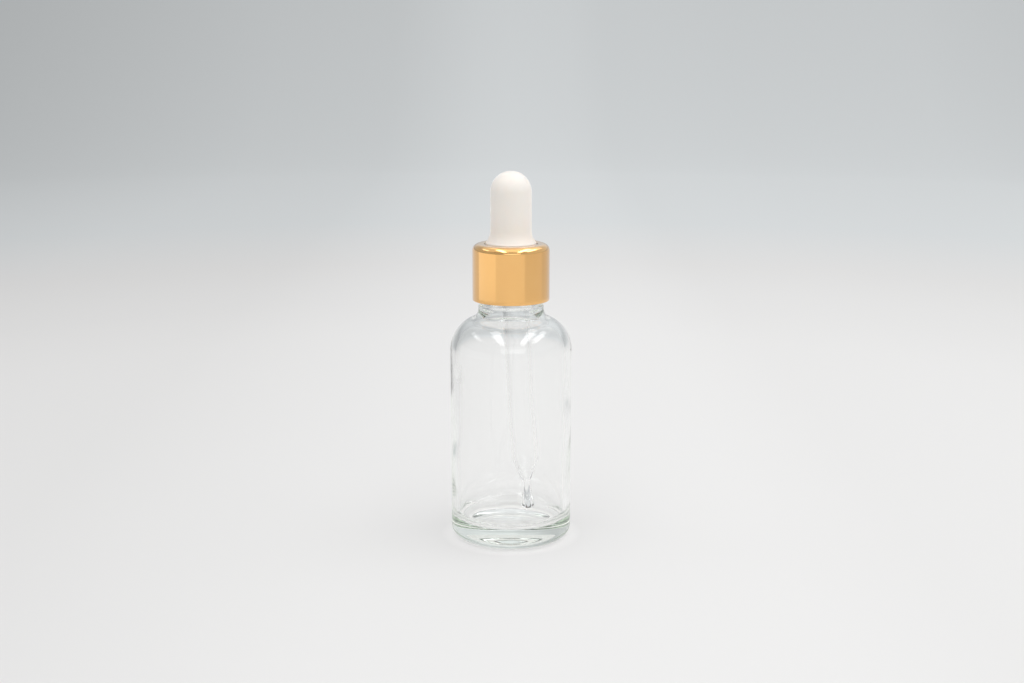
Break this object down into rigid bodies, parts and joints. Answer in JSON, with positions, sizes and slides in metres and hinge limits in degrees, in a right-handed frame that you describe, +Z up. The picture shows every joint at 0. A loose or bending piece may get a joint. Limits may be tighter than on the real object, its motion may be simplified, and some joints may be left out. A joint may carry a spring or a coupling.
{
  "type": "dropper bottle",
  "caption": "Round clear glass bottle with a metal clad screw closure, a soft squeeze bulb and a glass pipette that reaches to the base.",
  "frame": {"origin": "centre of the bottle's base on the surface that it stands on", "axes": "+Z up along the bottle's axis, +X towards the side that the pipette's tip leans to"},
  "size_m": [0.033, 0.033, 0.1008],
  "materials": {
    "bottle_glass": "clear, fire polished, with a faint green tint in its thickest parts",
    "pipette_glass": "clear drawn tube",
    "bulb_rubber": "matte moulded",
    "cap_plastic": "moulded, slightly satin",
    "collar_metal": "gold anodised, finely brushed round the side",
    "washer_plastic": "soft, satin"
  },
  "bodies": {
    "bottle": {"glass_bottle": "bottle_glass"},
    "washer": {"sealing_washer": "washer_plastic"},
    "dropper": {"glass_pipette": "pipette_glass"},
    "bulb": {"rubber_bulb": "bulb_rubber"},
    "cap": {"inner_cap": "cap_plastic", "aluminium_collar": "collar_metal"}
  },
  "joints": [
    {"name": "dropper_lift", "type": "slide", "parent": "bottle", "child": "washer", "axis": [-0.0628, 0, 0.998], "range_m": [0, 0.08]},
    {"name": "cap_rise", "type": "slide", "parent": "washer", "child": "dropper", "axis": [0, 0, 1], "range_m": [0, 0.004]},
    {"name": "cap_turn", "type": "hinge", "parent": "dropper", "child": "cap", "pos_m": [0, 0, 0.0767], "axis": [0, 0, 1], "range_deg": [0, 450]},
    {"name": "bulb_press", "type": "slide", "parent": "dropper", "child": "bulb", "axis": [0, 0, -1], "range_m": [0, 0.004], "stiffness_N_per_m": 600, "deforming": ["rubber_bulb"]}
  ],
  "couplings": [
    {"joint": "cap_rise", "follows": "cap_turn", "m_per_rad": 0.00050532}
  ]
}
